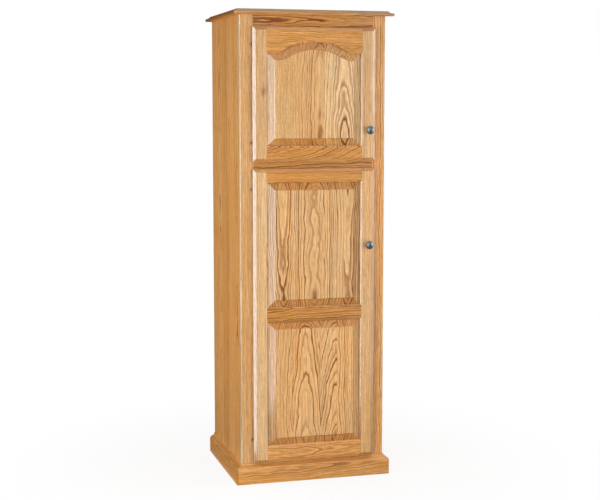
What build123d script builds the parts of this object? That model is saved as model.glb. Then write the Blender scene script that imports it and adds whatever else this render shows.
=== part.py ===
from build123d import *
from collections import namedtuple
import math
import os

# Tall face-frame pantry cabinet in solid oak, with two raised-panel overlay doors hung on the left.
# Millimetres. X runs across the front, -Y is the front and +Z is up. The origin is on the floor, at the
# middle of the cabinet's bounding box.

# ---------------------------------------------------------------- case
HEIGHT = 1829.0  # floor to the top board's upper face
BODY_WIDTH = 580.0  # over the two side panels
BODY_DEPTH = 505.0  # front of the face frame to the back panel's outer face
SIDE_THICK = 16.0
BACK_THICK = 6.0
BACK_RABBET = 8.0  # width of the step in each side that the back panel sits in
BACK_LIFT = 10.0  # the back panel stops this far above the floor
BOARD_THICK = 18.0  # deck and divider
DADO_DEPTH = 6.0  # the deck and divider are let this far into the sides
WOOD_FIT = 0.1  # play left round every tongue, tenon and dado
DECK_REVEAL = 8.0  # the deck's upper face stands this far above the base moulding
STRETCHER_THICK = 18.0
STRETCHER_WIDTH = 72.0
GLUE_BLOCK = 26.0  # legs of the triangular blocks under the deck
GLUE_BLOCK_LENGTH = 90.0
GLUE_BLOCK_SETBACK = 60.0  # from the face frame and from the back panel

# ---------------------------------------------------------------- face frame
FRAME_THICK = 19.0
FRAME_STILE = 52.0
FRAME_TOP_RAIL = 52.0
FRAME_MID_RAIL = 40.0
FRAME_BOTTOM_RAIL = 58.0
DIVIDER_TOP = 1260.0  # also the top edge of the middle rail
FRAME_EASING = 4.5  # rounding of the two outer front corners
TENON_THICK = 8.0
TENON_LENGTH = 25.0
TENON_SHOULDER = 7.0  # step at the top and bottom of each tenon

# ---------------------------------------------------------------- top board and base moulding
TOP_THICK = 20.0
TOP_OVERHANG = 27.5  # at the front and both ends; the back is flush
TOP_COVE_WIDTH = 15.5
TOP_COVE_DROP = 8.7
TOP_COVE_HOLLOW = 2.6  # how far the cove sags below its chord
TOP_NOSE = 3.0  # the rounded lip stands this far beyond the cove
BASE_HEIGHT = 80.0
BASE_THICK = 21.5
BASE_FACE = 54.5  # height of the flat outer face, below the ogee
BASE_FILLET = 3.0  # small flat at the top of the ogee
BASE_QUIRK = 3.0  # drop from the top edge to the start of the ogee
BASE_SWELL_WIDTH = 9.0  # the swell is the ogee's outer, lower half, and the hollow is the other
BASE_SWELL_RISE = 13.0
BASE_SWELL_BOW = 2.6  # how far the swell stands off its chord: enough to start upright
BASE_HOLLOW_BOW = 1.7
BASE_CORNER = 4.0  # rounding of the two mitred front corners

# ---------------------------------------------------------------- adjustable shelves
SHELF_THICK = 18.0
SHELF_SIDE_PLAY = 1.5
SHELF_SETBACK = 14.0  # behind the face frame
SHELF_BACK_PLAY = 2.0
SHELF_EASING = 2.0
UPPER_SHELVES = 1
LOWER_SHELVES = 3
PIN_RADIUS = 2.5
PIN_PLAY = 0.05
PIN_HOLE_DEPTH = 9.0
PIN_REACH = 9.0  # how far a pin stands out of the side
PIN_INSET = 40.0  # from the shelf's front and back edges
PIN_PITCH = 32.0  # the spare holes above and below each pin
SPARE_HOLES = 1  # above and below each pin

# ---------------------------------------------------------------- doors
DOOR_THICK = 19.0
DOOR_GAP = 3.0  # door back to face frame, where the hinge leaves lie
DOOR_OVERLAY = 6.0  # how far a door laps the face frame on each side
DOOR_EDGE_WIDTH = 12.0  # bevel round the outside of each door
DOOR_EDGE_DROP = 6.0
DOOR_STILE = 58.0
UPPER_TOP_RAIL = 97.5  # at the shoulders of the arch
UPPER_BOTTOM_RAIL = 60.0
LOWER_TOP_RAIL = 53.0
LOWER_MID_RAIL = 58.0
LOWER_BOTTOM_RAIL = 66.0
LOWER_MID_RAIL_Z = 663.0  # height of the rail's centre line
STICKING_WIDTH = 5.0  # bevel on the inner edges of stiles and rails
STICKING_DROP = 4.0
GROOVE_DEPTH = 9.0
TONGUE_DEPTH = 8.0
TONGUE_THICK = 5.0
TONGUE_BACK = 5.0  # from the door's back face to the tongue
PANEL_BEVEL = 29.0  # width of the slope that shows round each raised field
PANEL_BEVEL_START = 0.5  # the slope starts this far inside the opening
PANEL_SHOULDER_WIDTH = 3.6  # the steeper slope that carries the field's edge
PANEL_SHOULDER_DROP = 2.6
PANEL_RECESS = 0.8  # the field lies this far below the door's face
ARCH_HALF_SPAN = 150.0  # where the arch's reverse curves run into the level shoulders
ARCH_RISE = 41.0
ARCH_RADIUS = 229.0  # main curve at the opening's edge

# ---------------------------------------------------------------- hinges
HINGE_SET_OUT = 3.6  # hinge axis to the door's edge
HINGE_STAND_OFF = 3.7  # hinge axis to the face frame
HINGE_UPPER = (66.0, 71.0)  # from the upper door's top and bottom edges
HINGE_LOWER = (77.0, 91.0)  # from the lower door's top and bottom edges
KNUCKLE_RADIUS = 3.0
KNUCKLE_HEIGHT = 3.0
KNUCKLE_GAP = 0.15
HINGE_PIN_RADIUS = 1.25
HINGE_PIN_PLAY = 0.05
HINGE_PIN_HEAD = 1.9
HINGE_PIN_HEAD_HEIGHT = 0.7
LEAF_THICK = 1.2
LEAF_HEIGHT = 46.0
LEAF_WIDTH = 28.0  # the leaf on the door's back
LEAF_WRAP = 15.0  # depth of the flange on the stile's inner edge
LEAF_EDGE_PLAY = 0.4  # from the door's edge to the leaves
LEAF_SCREW_SPACING = 30.0
LEAF_SCREW_INSET = 9.0  # from a leaf's free edge to its screws

# ---------------------------------------------------------------- screws
SCREW_HEAD = 3.0
SCREW_HEAD_HEIGHT = 1.4
SCREW_HEAD_BEVEL = 0.6  # on the rim of every screw head
SCREW_SHANK = 1.5
SCREW_LENGTH = 12.0
SCREW_PLAY = 0.05
SCREW_HOLE_EXTRA = 0.5  # holes are this much deeper than the screw
TOP_SCREW_HEAD = 4.0
TOP_SCREW_HEAD_HEIGHT = 2.5
TOP_SCREW_SHANK = 2.0
TOP_SCREW_LENGTH = 29.0
TOP_SCREW_INSET = 95.0  # from the inside face of each side

# ---------------------------------------------------------------- knobs
KNOB_RADIUS = 16.0
KNOB_REACH = 26.0
KNOB_RIM_Y = 15.5  # height of the head's widest point above the door
KNOB_RIM_BAND = 1.6  # height of the rim's straight band
KNOB_RIM_BEVEL = 0.8  # above and below the band
KNOB_FLARE = 7.0  # the head's underside flares out over this length
KNOB_FLARE_BOW = 1.8  # how hollow the flare is
KNOB_BASE_RADIUS = 8.5
KNOB_BASE_THICK = 2.0
KNOB_NECK_RADIUS = 5.5
KNOB_INSET = 25.0  # from the door's free edge
KNOB_UPPER_Z = 1373.0
KNOB_LOWER_Z = 926.0
KNOB_SCREW_RADIUS = 2.0
KNOB_SCREW_PLAY = 0.05
KNOB_SCREW_DEPTH = 12.0  # how far the screw goes into the knob
KNOB_SCREW_HEAD = 4.2
KNOB_SCREW_HEAD_HEIGHT = 2.2

# ---------------------------------------------------------------- magnetic catches and bumpers
CATCH_ABOVE_KNOB = 70.0
CATCH_WIDTH = 12.0
CATCH_DEPTH = 14.0
CATCH_HEIGHT = 28.0
CATCH_FLANGE = 3.5
CATCH_FLANGE_HEIGHT = 48.0
CATCH_SCREW_SPACING = 38.0
CATCH_RECESS = 1.0  # the case starts this far behind the face frame's front
POLE_THICK = 1.6
POLE_HEIGHT = 22.0
POLE_LENGTH = 9.0
POLE_SPACING = 5.0
POLE_PLAY = 0.1
STRIKE_WIDTH = 11.0
STRIKE_HEIGHT = 40.0
STRIKE_THICK = 1.5
STRIKE_SCREW_INSET = 5.0
CONTACT_GAP = 0.3  # poles to strike, and bumpers to face frame
BUMPER_RADIUS = 2.8

# ---------------------------------------------------------------- places worked out from the sizes
Y_BACK = (BODY_DEPTH + DOOR_GAP + DOOR_THICK + KNOB_REACH) / 2
Y_FACE = Y_BACK - BODY_DEPTH  # front of the face frame
Y_CASE = Y_FACE + FRAME_THICK  # back of the face frame, where the boards start
Y_INNER_BACK = Y_BACK - BACK_THICK
Y_DOOR_BACK = Y_FACE - DOOR_GAP
Y_DOOR_FRONT = Y_DOOR_BACK - DOOR_THICK
Y_TONGUE_BACK = Y_DOOR_BACK - TONGUE_BACK
Y_TONGUE_FRONT = Y_TONGUE_BACK - TONGUE_THICK
Y_FIELD = Y_DOOR_FRONT + PANEL_RECESS

X_BODY = BODY_WIDTH / 2
X_INSIDE = X_BODY - SIDE_THICK
X_OPENING = X_BODY - FRAME_STILE  # inner edge of a face-frame stile
X_DOOR = X_OPENING + DOOR_OVERLAY
X_DOOR_OPENING = X_DOOR - DOOR_STILE
X_KNOB = X_DOOR - KNOB_INSET

DECK_TOP = BASE_HEIGHT + DECK_REVEAL
Z_UNDER_TOP = HEIGHT - TOP_THICK
Z_TOP_RAIL = Z_UNDER_TOP - FRAME_TOP_RAIL
Z_MID_RAIL = DIVIDER_TOP - FRAME_MID_RAIL
UPPER_DOOR_LOW = DIVIDER_TOP - DOOR_OVERLAY
UPPER_DOOR_HIGH = Z_TOP_RAIL + DOOR_OVERLAY
LOWER_DOOR_LOW = DECK_TOP - DOOR_OVERLAY
LOWER_DOOR_HIGH = Z_MID_RAIL + DOOR_OVERLAY

HINGE_X = -X_DOOR - HINGE_SET_OUT
HINGE_Y = Y_FACE - HINGE_STAND_OFF
UPPER_HINGES = (UPPER_DOOR_HIGH - HINGE_UPPER[0], UPPER_DOOR_LOW + HINGE_UPPER[1])
LOWER_HINGES = (LOWER_DOOR_HIGH - HINGE_LOWER[0], LOWER_DOOR_LOW + HINGE_LOWER[1])
UPPER_CATCH_Z = KNOB_UPPER_Z + CATCH_ABOVE_KNOB
LOWER_CATCH_Z = KNOB_LOWER_Z + CATCH_ABOVE_KNOB
X_CATCH = X_OPENING - CATCH_WIDTH / 2

nodes = {}


# ---------------------------------------------------------------- helpers
def block(x0, x1, y0, y1, z0, z1):
    """A box between two corners."""
    return Pos((x0 + x1) / 2, (y0 + y1) / 2, (z0 + z1) / 2) * Box(x1 - x0, y1 - y0, z1 - z0)


def edge_near(solid, axis, point):
    """The edge along axis that lies nearest to point."""
    return solid.edges().filter_by(axis).sort_by_distance(point)[0]


def rod(at, direction, radius, length):
    """A cylinder that starts at a point and runs along direction."""
    start_up = (Align.CENTER, Align.CENTER, Align.MIN)
    return Plane(origin=at, z_dir=direction).location * Cylinder(radius, length, align=start_up)


def xz_outline(points, y):
    """A closed straight-sided face in the plane across the front, at depth y."""
    return make_face(Polyline(*[(x, y, z) for x, z in points], close=True))


def along_y(face, y_from, y_to):
    """A face drawn at y_from, pushed to y_to."""
    return extrude(face, amount=abs(y_to - y_from), dir=(0, math.copysign(1, y_to - y_from), 0))


def screw(at, out, head, head_height, shank, length):
    """A pan-head screw whose head sits on the surface at a point; out points away from the wood."""
    cap = rod(at, out, head, head_height)
    crown = cap.edges().sort_by_distance(Vector(*at) + Vector(*out) * head_height)[0]
    cap = chamfer(crown, SCREW_HEAD_BEVEL)
    return cap + rod(at, tuple(-c for c in out), shank, length)


def small_screw(at, out):
    return screw(at, out, SCREW_HEAD, SCREW_HEAD_HEIGHT, SCREW_SHANK, SCREW_LENGTH)


def small_screw_hole(at, out):
    """The hole for a small screw, through its plate and into the wood."""
    inward = tuple(-c for c in out)
    return rod(at, inward, SCREW_SHANK + SCREW_PLAY, SCREW_LENGTH + SCREW_HOLE_EXTRA)


# ---------------------------------------------------------------- adjustable shelf heights
def shelf_tops(count, low, high):
    """Upper faces of evenly spaced shelves between two fixed boards."""
    bay = (high - low - count * SHELF_THICK) / (count + 1)
    return [low + (i + 1) * (bay + SHELF_THICK) for i in range(count)]


Z_UPPER_CEILING = Z_UNDER_TOP - STRETCHER_THICK
SHELF_TOPS = {
    "upper_shelf": shelf_tops(UPPER_SHELVES, DIVIDER_TOP, Z_UPPER_CEILING),
    "lower_shelf": shelf_tops(LOWER_SHELVES, DECK_TOP, DIVIDER_TOP - BOARD_THICK),
}
SHELF_FRONT = Y_CASE + SHELF_SETBACK
SHELF_REAR = Y_INNER_BACK - SHELF_BACK_PLAY
PIN_ROWS = (SHELF_FRONT + PIN_INSET, SHELF_REAR - PIN_INSET)


def pin_heights():
    """Centre heights of the pins: each shelf rests on the pins' upper sides."""
    tops = [top for group in SHELF_TOPS.values() for top in group]
    return [top - SHELF_THICK - PIN_RADIUS for top in tops]


# ---------------------------------------------------------------- case
def make_side(side):
    """One side panel, rabbeted for the back, dadoed for the boards and drilled for the shelf pins."""
    inner, outer = side * X_INSIDE, side * X_BODY
    panel = block(min(inner, outer), max(inner, outer), Y_CASE, Y_BACK, 0, Z_UNDER_TOP)
    rabbet = side * (X_INSIDE + BACK_RABBET)
    low, high = min(inner, rabbet), max(inner, rabbet)
    panel -= block(low, high, Y_INNER_BACK, Y_BACK, 0, Z_UNDER_TOP)
    dado = side * (X_INSIDE + DADO_DEPTH)
    low, high = min(inner, dado), max(inner, dado)
    for top in (DECK_TOP, DIVIDER_TOP):
        bottom = top - BOARD_THICK
        panel -= block(low, high, Y_CASE, Y_INNER_BACK, bottom - WOOD_FIT, top + WOOD_FIT)
    holes = []
    for height in pin_heights():
        for y in PIN_ROWS:
            for i in range(-SPARE_HOLES, SPARE_HOLES + 1):
                at = (inner, y, height + i * PIN_PITCH)
                holes.append(rod(at, (side, 0, 0), PIN_RADIUS + PIN_PLAY, PIN_HOLE_DEPTH))
    return panel - holes


def make_board(top):
    """The deck or the divider, with its ends in the sides' dadoes."""
    half = X_INSIDE + DADO_DEPTH - WOOD_FIT
    return block(-half, half, Y_CASE, Y_INNER_BACK, top - BOARD_THICK, top)


def top_screw_places():
    """Where the top board is screwed down, on the stretchers' undersides."""
    x = X_INSIDE - TOP_SCREW_INSET
    front = Y_CASE + STRETCHER_WIDTH / 2
    back = Y_INNER_BACK - STRETCHER_WIDTH / 2
    return [(sx * x, y, Z_UPPER_CEILING) for y in (front, back) for sx in (-1, 1)]


def top_screw_holes():
    radius = TOP_SCREW_SHANK + SCREW_PLAY
    length = TOP_SCREW_LENGTH + SCREW_HOLE_EXTRA
    return [rod(at, (0, 0, 1), radius, length) for at in top_screw_places()]


def make_stretcher(y0, y1):
    """A board between the sides that the top is screwed to."""
    board = block(-X_INSIDE, X_INSIDE, y0, y1, Z_UPPER_CEILING, Z_UNDER_TOP)
    return board - top_screw_holes()


def make_glue_blocks():
    """Triangular blocks in the corners under the deck."""
    deck_under = DECK_TOP - BOARD_THICK
    blocks = []
    for side in (-1, 1):
        corner = side * X_INSIDE
        toe = side * (X_INSIDE - GLUE_BLOCK)
        points = [(corner, deck_under), (toe, deck_under), (corner, deck_under - GLUE_BLOCK)]
        front = Y_CASE + GLUE_BLOCK_SETBACK
        rear = Y_INNER_BACK - GLUE_BLOCK_SETBACK - GLUE_BLOCK_LENGTH
        for y in (front, rear):
            blocks.append(along_y(xz_outline(points, y), y, y + GLUE_BLOCK_LENGTH))
    return blocks


def edge_profile(reach):
    """The top board's moulded edge: cove, then a rounded lip. reach is the lip's distance from the middle."""
    lip = reach - TOP_NOSE
    arris = lip - TOP_COVE_WIDTH
    z_lip = HEIGHT - TOP_COVE_DROP
    slope = math.hypot(TOP_COVE_WIDTH, TOP_COVE_DROP)
    sag = (TOP_COVE_HOLLOW * TOP_COVE_DROP / slope, TOP_COVE_HOLLOW * TOP_COVE_WIDTH / slope)
    cove_middle = ((arris + lip) / 2 - sag[0], (HEIGHT + z_lip) / 2 - sag[1])
    nose = (reach, (z_lip + Z_UNDER_TOP) / 2)
    return arris, lip, z_lip, cove_middle, nose


def make_top_board():
    """The top board: the edge runs round the front and both ends, and meets in mitres."""
    x_reach, y_front = X_BODY + TOP_OVERHANG, Y_FACE - TOP_OVERHANG
    arris, lip, z_lip, cove, nose = edge_profile(x_reach)
    right = [
        Line((0, HEIGHT), (arris, HEIGHT)),
        ThreePointArc((arris, HEIGHT), cove, (lip, z_lip)),
        ThreePointArc((lip, z_lip), nose, (lip, Z_UNDER_TOP)),
        Line((lip, Z_UNDER_TOP), (0, Z_UNDER_TOP)),
        Line((0, Z_UNDER_TOP), (0, HEIGHT)),
    ]
    half = extrude(Plane.XZ * make_face(right), amount=BODY_DEPTH + 2 * TOP_OVERHANG, both=True)
    across = half + mirror(half, Plane.YZ)
    shift = Y_BACK - y_front
    arris, lip, z_lip, cove, nose = edge_profile(shift)
    front = [
        Line((0, HEIGHT), (-arris, HEIGHT)),
        ThreePointArc((-arris, HEIGHT), (-cove[0], cove[1]), (-lip, z_lip)),
        ThreePointArc((-lip, z_lip), (-nose[0], nose[1]), (-lip, Z_UNDER_TOP)),
        Line((-lip, Z_UNDER_TOP), (0, Z_UNDER_TOP)),
        Line((0, Z_UNDER_TOP), (0, HEIGHT)),
    ]
    along = extrude(Plane.YZ * make_face(front), amount=BODY_WIDTH, both=True)
    return (across & (Pos(0, Y_BACK, 0) * along)) - top_screw_holes()


def bowed_arc(start, end, bow):
    """An arc that stands off its chord by bow at the middle, to the left of the way from start to end."""
    run, climb = end[0] - start[0], end[1] - start[1]
    chord = math.hypot(run, climb)
    aside = (-bow * climb / chord, bow * run / chord)
    middle = ((start[0] + end[0]) / 2 + aside[0], (start[1] + end[1]) / 2 + aside[1])
    return ThreePointArc(start, middle, end)


def base_profile():
    """Section of the base moulding, drawn as (distance out from the wall, height)."""
    ogee_top = (BASE_FILLET, BASE_HEIGHT - BASE_QUIRK)
    ogee_end = (BASE_THICK, BASE_FACE)
    middle = (BASE_THICK - BASE_SWELL_WIDTH, BASE_FACE + BASE_SWELL_RISE)
    return [
        Line((0, 0), (0, BASE_HEIGHT)),
        Line((0, BASE_HEIGHT), (BASE_FILLET, BASE_HEIGHT)),
        Line((BASE_FILLET, BASE_HEIGHT), ogee_top),
        bowed_arc(ogee_top, middle, -BASE_HOLLOW_BOW),
        bowed_arc(middle, ogee_end, BASE_SWELL_BOW),
        Line(ogee_end, (BASE_THICK, 0)),
        Line((BASE_THICK, 0), (0, 0)),
    ]


def plan_prism(points):
    """An upright prism as tall as the base moulding, from corners given as (x, y)."""
    return extrude(make_face(Polyline(*points, close=True)), amount=BASE_HEIGHT, dir=(0, 0, 1))


def make_base():
    """The base moulding: a front length and two returns, mitred at the corners."""
    x_out, y_out = X_BODY + BASE_THICK, Y_FACE - BASE_THICK
    section = make_face(base_profile())
    front_plane = Plane(origin=(0, Y_FACE, 0), x_dir=(0, -1, 0), z_dir=(-1, 0, 0))
    front = extrude(front_plane * section, amount=x_out, both=True)
    front_plan = [(-x_out, y_out), (x_out, y_out), (X_BODY, Y_FACE), (-X_BODY, Y_FACE)]
    rounded = block(-x_out, x_out, y_out, Y_BACK, 0, BASE_HEIGHT)
    corners = [edge_near(rounded, Axis.Z, (side * x_out, y_out, BASE_HEIGHT / 2)) for side in (-1, 1)]
    rounded = fillet(corners, BASE_CORNER)
    nodes["base_front"] = front & plan_prism(front_plan) & rounded
    side_plane = Plane(origin=(X_BODY, Y_BACK, 0), x_dir=(1, 0, 0), z_dir=(0, -1, 0))
    right = extrude(side_plane * section, amount=Y_BACK - y_out)
    right_plan = [(X_BODY, Y_FACE), (x_out, y_out), (x_out, Y_BACK), (X_BODY, Y_BACK)]
    right = right & plan_prism(right_plan) & rounded
    nodes["base_right"] = right
    nodes["base_left"] = mirror(right, Plane.YZ)


def make_case():
    nodes["side_left"] = make_side(-1)
    nodes["side_right"] = make_side(1)
    back_half = X_INSIDE + BACK_RABBET - WOOD_FIT
    back = (-back_half, back_half, Y_INNER_BACK, Y_BACK, BACK_LIFT, Z_UNDER_TOP)
    nodes["back_panel"] = block(*back)
    nodes["deck"] = make_board(DECK_TOP)
    nodes["divider"] = make_board(DIVIDER_TOP)
    nodes["stretcher_front"] = make_stretcher(Y_CASE, Y_CASE + STRETCHER_WIDTH)
    nodes["stretcher_back"] = make_stretcher(Y_INNER_BACK - STRETCHER_WIDTH, Y_INNER_BACK)
    nodes["top_board"] = make_top_board()
    nodes["glue_blocks"] = make_glue_blocks()
    sizes = (TOP_SCREW_HEAD, TOP_SCREW_HEAD_HEIGHT, TOP_SCREW_SHANK, TOP_SCREW_LENGTH)
    nodes["top_screws"] = [screw(at, (0, 0, -1), *sizes) for at in top_screw_places()]


def make_shelves():
    """Adjustable shelves, and the pins they rest on."""
    half = X_INSIDE - SHELF_SIDE_PLAY
    for name, tops in SHELF_TOPS.items():
        for i, top in enumerate(tops):
            shelf = block(-half, half, SHELF_FRONT, SHELF_REAR, top - SHELF_THICK, top)
            corner = (0, SHELF_FRONT, top)
            shelf = fillet(edge_near(shelf, Axis.X, corner), SHELF_EASING)
            nodes[f"{name}_{i + 1}"] = shelf
    pins = []
    for height in pin_heights():
        for y in PIN_ROWS:
            for side in (-1, 1):
                at = (side * (X_INSIDE + PIN_HOLE_DEPTH), y, height)
                pins.append(rod(at, (-side, 0, 0), PIN_RADIUS, PIN_HOLE_DEPTH + PIN_REACH))
    nodes["shelf_pins"] = pins


# ---------------------------------------------------------------- face frame
RAILS = {
    "frame_rail_top": (Z_TOP_RAIL, Z_UNDER_TOP),
    "frame_rail_middle": (Z_MID_RAIL, DIVIDER_TOP),
    "frame_rail_bottom": (DECK_TOP - FRAME_BOTTOM_RAIL, DECK_TOP),
}


def tenon(side, low, high, play):
    """One tenon on a rail's end, grown by play when it is used to cut the mortise."""
    root = X_OPENING
    tip = X_OPENING + TENON_LENGTH + play
    y_middle = Y_FACE + FRAME_THICK / 2
    half = TENON_THICK / 2 + play
    x0, x1 = min(side * root, side * tip), max(side * root, side * tip)
    z0, z1 = low + TENON_SHOULDER - play, high - TENON_SHOULDER + play
    return block(x0, x1, y_middle - half, y_middle + half, z0, z1)


def frame_screw_places():
    """Small screws in the stiles' inner edges, as (point under the head, outward direction)."""
    places = []
    y_leaf = Y_FACE + LEAF_WRAP - LEAF_SCREW_INSET + LEAF_THICK
    for z in UPPER_HINGES + LOWER_HINGES:
        for dz in (-LEAF_SCREW_SPACING / 2, LEAF_SCREW_SPACING / 2):
            places.append(((-X_OPENING + LEAF_THICK, y_leaf, z + dz), (1, 0, 0)))
    y_catch = Y_FACE + CATCH_RECESS + CATCH_DEPTH / 2
    for z in (UPPER_CATCH_Z, LOWER_CATCH_Z):
        for dz in (-CATCH_SCREW_SPACING / 2, CATCH_SCREW_SPACING / 2):
            places.append(((X_OPENING - CATCH_FLANGE, y_catch, z + dz), (-1, 0, 0)))
    return places


FRAME_SCREW_HOLES = [small_screw_hole(at, out) for at, out in frame_screw_places()]


def make_face_frame():
    """Two stiles and three rails, mortised and tenoned."""
    for name, side in (("frame_stile_left", -1), ("frame_stile_right", 1)):
        x0, x1 = sorted((side * X_OPENING, side * X_BODY))
        stile = block(x0, x1, Y_FACE, Y_CASE, 0, Z_UNDER_TOP)
        corner = (side * X_BODY, Y_FACE, HEIGHT / 2)
        stile = fillet(edge_near(stile, Axis.Z, corner), FRAME_EASING)
        mortises = [tenon(side, low, high, WOOD_FIT) for low, high in RAILS.values()]
        nodes[name] = stile - mortises - FRAME_SCREW_HOLES
    for name, (low, high) in RAILS.items():
        rail = block(-X_OPENING, X_OPENING, Y_FACE, Y_CASE, low, high)
        nodes[name] = rail + [tenon(side, low, high, 0) for side in (-1, 1)]


# ---------------------------------------------------------------- doors
# An opening is the window between a door's stiles and rails. low and high are its level edges, and an
# arched opening rises from high, its shoulders, to the top of the arch.
Opening = namedtuple("Opening", "low high arched")

UPPER_OPENINGS = [
    Opening(UPPER_DOOR_LOW + UPPER_BOTTOM_RAIL, UPPER_DOOR_HIGH - UPPER_TOP_RAIL, True),
]
LOWER_OPENINGS = [
    Opening(LOWER_DOOR_LOW + LOWER_BOTTOM_RAIL, LOWER_MID_RAIL_Z - LOWER_MID_RAIL / 2, False),
    Opening(LOWER_MID_RAIL_Z + LOWER_MID_RAIL / 2, LOWER_DOOR_HIGH - LOWER_TOP_RAIL, False),
]
# The arch is one main curve between two reverse curves, all tangent: their radii add up to this.
ARCH_RADII = (ARCH_HALF_SPAN**2 + ARCH_RISE**2) / (2 * ARCH_RISE)


def arch_points(shoulder, grow):
    """Points of the arch's right half, at the opening's edge grown outwards by grow."""
    main_centre = Vector(0, shoulder + ARCH_RISE - ARCH_RADIUS)
    reverse_centre = Vector(ARCH_HALF_SPAN, shoulder + ARCH_RADII - ARCH_RADIUS)
    main, reverse = ARCH_RADIUS + grow, ARCH_RADII - ARCH_RADIUS - grow
    towards = (reverse_centre - main_centre).normalized()
    meet = main_centre + towards * main
    apex = main_centre + Vector(0, main)
    foot = reverse_centre - Vector(0, reverse)
    half_way = (Vector(0, -1) - towards).normalized()
    between = reverse_centre + half_way * reverse
    return [(p.X, p.Y) for p in (foot, between, meet, apex)]


def opening_face(opening, grow, y):
    """The opening's outline grown outwards by grow (inwards if negative), as a face at depth y."""
    half = X_DOOR_OPENING + grow
    low, high = opening.low - grow, opening.high + grow
    if not opening.arched:
        return xz_outline([(-half, low), (half, low), (half, high), (-half, high)], y)
    foot, between, meet, apex = [(x, y, z) for x, z in arch_points(opening.high, grow)]
    mirrored = [(-x, y, z) for x, y, z in (foot, between, meet)]
    corners = [(-half, y, high), (-half, y, low), (half, y, low), (half, y, high)]
    edges = [
        Polyline(mirrored[0], *corners, foot),
        ThreePointArc(foot, between, meet),
        ThreePointArc(meet, apex, mirrored[2]),
        ThreePointArc(mirrored[2], mirrored[1], mirrored[0]),
    ]
    return make_face(edges)


def opening_slab(opening, grow, y_from, y_to):
    return along_y(opening_face(opening, grow, y_from), y_from, y_to)


def opening_cutter(opening):
    """What a panel's opening takes out of the door frame: the window, its bevelled edge and the groove."""
    y_bevel = Y_DOOR_FRONT + STICKING_DROP
    window = opening_slab(opening, 0, Y_DOOR_BACK, Y_DOOR_FRONT)
    splay_faces = [
        opening_face(opening, 0, y_bevel),
        opening_face(opening, STICKING_WIDTH, Y_DOOR_FRONT),
    ]
    splay = loft(splay_faces, ruled=True)
    groove_back, groove_front = Y_TONGUE_BACK + WOOD_FIT, Y_TONGUE_FRONT - WOOD_FIT
    groove = opening_slab(opening, GROOVE_DEPTH, groove_back, groove_front)
    return window + splay + groove


def make_panel(opening):
    """A raised panel: a tongue all round, a broad slope, and a steeper shoulder up to the flat field."""
    tongue = opening_slab(opening, TONGUE_DEPTH, Y_TONGUE_BACK, Y_TONGUE_FRONT)
    outer_edge = opening_face(opening, -PANEL_BEVEL_START, Y_TONGUE_FRONT)
    y_foot = Y_FIELD + PANEL_SHOULDER_DROP
    shoulder_foot = opening_face(opening, PANEL_SHOULDER_WIDTH - PANEL_BEVEL, y_foot)
    field_edge = opening_face(opening, -PANEL_BEVEL, Y_FIELD)
    slope = loft([outer_edge, shoulder_foot], ruled=True)
    shoulder = loft([shoulder_foot, field_edge], ruled=True)
    return tongue + slope + shoulder


def door_blank(low, high):
    """The whole door as one slab, with the bevel round its front edges."""
    y_edge = Y_DOOR_FRONT + DOOR_EDGE_DROP
    x_flat = X_DOOR - DOOR_EDGE_WIDTH
    plan = [
        (-X_DOOR, Y_DOOR_BACK),
        (-X_DOOR, y_edge),
        (-x_flat, Y_DOOR_FRONT),
        (x_flat, Y_DOOR_FRONT),
        (X_DOOR, y_edge),
        (X_DOOR, Y_DOOR_BACK),
    ]
    upright = extrude(
        make_face(Polyline(*[(x, y, low) for x, y in plan], close=True)),
        amount=high - low,
        dir=(0, 0, 1),
    )
    section = [
        (Y_DOOR_BACK, low),
        (y_edge, low),
        (Y_DOOR_FRONT, low + DOOR_EDGE_WIDTH),
        (Y_DOOR_FRONT, high - DOOR_EDGE_WIDTH),
        (y_edge, high),
        (Y_DOOR_BACK, high),
    ]
    crosswise = extrude(
        make_face(Polyline(*[(-X_DOOR, y, z) for y, z in section], close=True)),
        amount=2 * X_DOOR,
        dir=(1, 0, 0),
    )
    return upright & crosswise


def stile_stock(side, low, high):
    """A door stile's full bar: the bevel on its inner edge runs the whole length."""
    inner, face = side * X_DOOR_OPENING, side * (X_DOOR_OPENING + STICKING_WIDTH)
    outer = side * X_DOOR
    plan = [
        (inner, Y_DOOR_BACK),
        (inner, Y_DOOR_FRONT + STICKING_DROP),
        (face, Y_DOOR_FRONT),
        (outer, Y_DOOR_FRONT),
        (outer, Y_DOOR_BACK),
    ]
    bar = make_face(Polyline(*[(x, y, low) for x, y in plan], close=True))
    return extrude(bar, amount=high - low, dir=(0, 0, 1))


def stile_groove(side, low, high):
    x0, x1 = sorted((side * X_DOOR_OPENING, side * (X_DOOR_OPENING + GROOVE_DEPTH)))
    return block(x0, x1, Y_TONGUE_FRONT - WOOD_FIT, Y_TONGUE_BACK + WOOD_FIT, low, high)


def door_screw_places(hinges, catch_z):
    """Small screws in a door's back: two for each hinge leaf and one for the catch's strike."""
    x_leaf = -X_DOOR + LEAF_EDGE_PLAY + LEAF_WIDTH - LEAF_SCREW_INSET
    y_leaf = Y_DOOR_BACK + LEAF_THICK
    places = []
    for z in hinges:
        for dz in (-LEAF_SCREW_SPACING / 2, LEAF_SCREW_SPACING / 2):
            places.append((x_leaf, y_leaf, z + dz))
    z_strike = catch_z + STRIKE_HEIGHT / 2 - STRIKE_SCREW_INSET
    places.append((X_CATCH, Y_DOOR_BACK + STRIKE_THICK, z_strike))
    return places


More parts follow.
